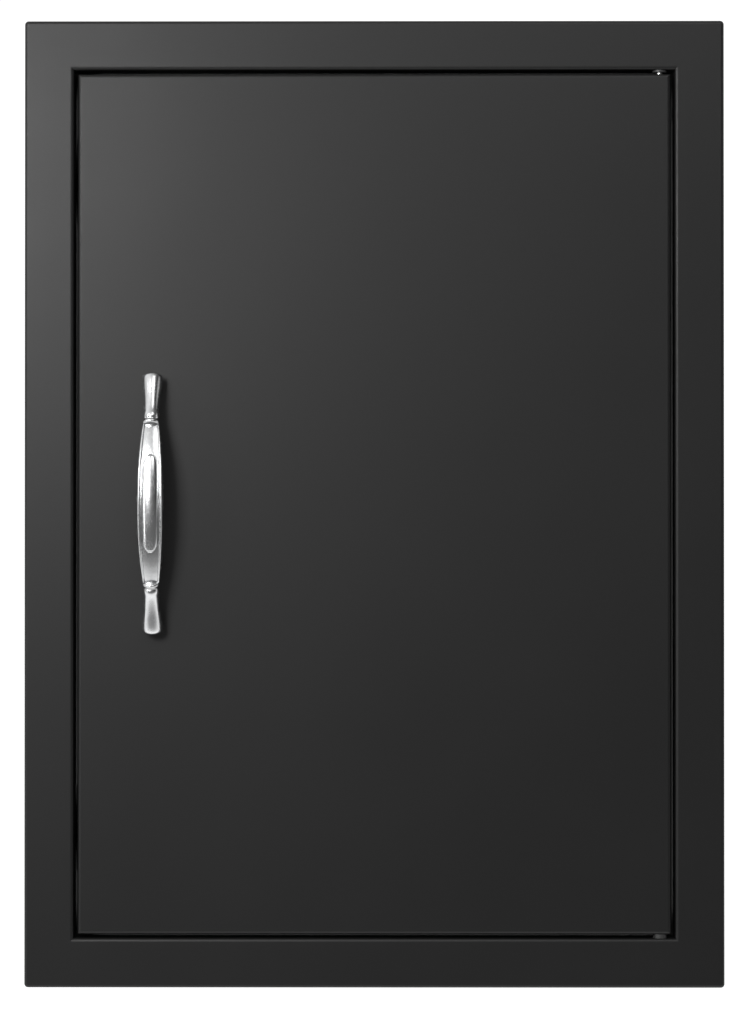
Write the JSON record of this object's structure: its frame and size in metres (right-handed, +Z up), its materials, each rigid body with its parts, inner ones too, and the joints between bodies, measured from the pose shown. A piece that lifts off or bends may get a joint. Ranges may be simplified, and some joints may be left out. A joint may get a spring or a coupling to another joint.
{
  "type": "access door",
  "caption": "Single hinged access door in a folded flange frame for a barbecue island, with a bow handle and a sprung lift-out pivot.",
  "frame": {"origin": "centre of the cut-out in the island's wall, on the wall's outer surface", "axes": "+Y runs into the island, so the door is seen from -Y; +X to the viewer's right, towards the hinge; +Z up"},
  "size_m": [0.406, 0.0636, 0.561],
  "materials": {
    "frame_coat": "satin black powder coat",
    "door_coat": "satin black powder coat",
    "polished_chrome": "polished chrome plate",
    "nylon": "black nylon",
    "catch_plastic": "black moulded plastic",
    "black_plastic": "black moulded plastic",
    "magnet": "dark ferrite",
    "plated_steel": "zinc-plated steel",
    "pin_steel": "turned stainless steel",
    "spring_steel": "drawn spring wire"
  },
  "bodies": {
    "frame": {"frame_top_rail": "frame_coat", "frame_bottom_rail": "frame_coat", "frame_left_stile": "frame_coat", "frame_right_stile": "frame_coat", "top_frame_bush": "nylon", "bottom_frame_bush": "nylon", "upper_catch_housing": "catch_plastic", "lower_catch_housing": "catch_plastic", "catch_magnets": "magnet", "catch_pole_plates": "plated_steel"},
    "door": {"door_skin": "door_coat", "door_liner": "door_coat", "handle_stiffener": "plated_steel", "access_plugs": "black_plastic", "upper_strike_plate": "plated_steel", "lower_strike_plate": "plated_steel", "handle": "polished_chrome", "handle_screws": "plated_steel", "top_pivot_bracket": "plated_steel", "bottom_pivot_bracket": "plated_steel", "bottom_pivot_pin": "pin_steel", "plunger_spring": "spring_steel"},
    "plunger": {"plunger_pin": "pin_steel", "plunger_lever": "pin_steel", "lever_knob": "black_plastic"}
  },
  "joints": [
    {"name": "door_hinge", "type": "hinge", "parent": "frame", "child": "door", "pos_m": [0.166, -0.005, 0], "axis": [0, 0, 1], "range_deg": [0, 110]},
    {"name": "plunger_slide", "type": "slide", "parent": "door", "child": "plunger", "axis": [0, 0, -1], "range_m": [0, 0.005], "stiffness_N_per_m": 400, "springref_m": -0.006, "deforming": ["plunger_spring"]}
  ]
}
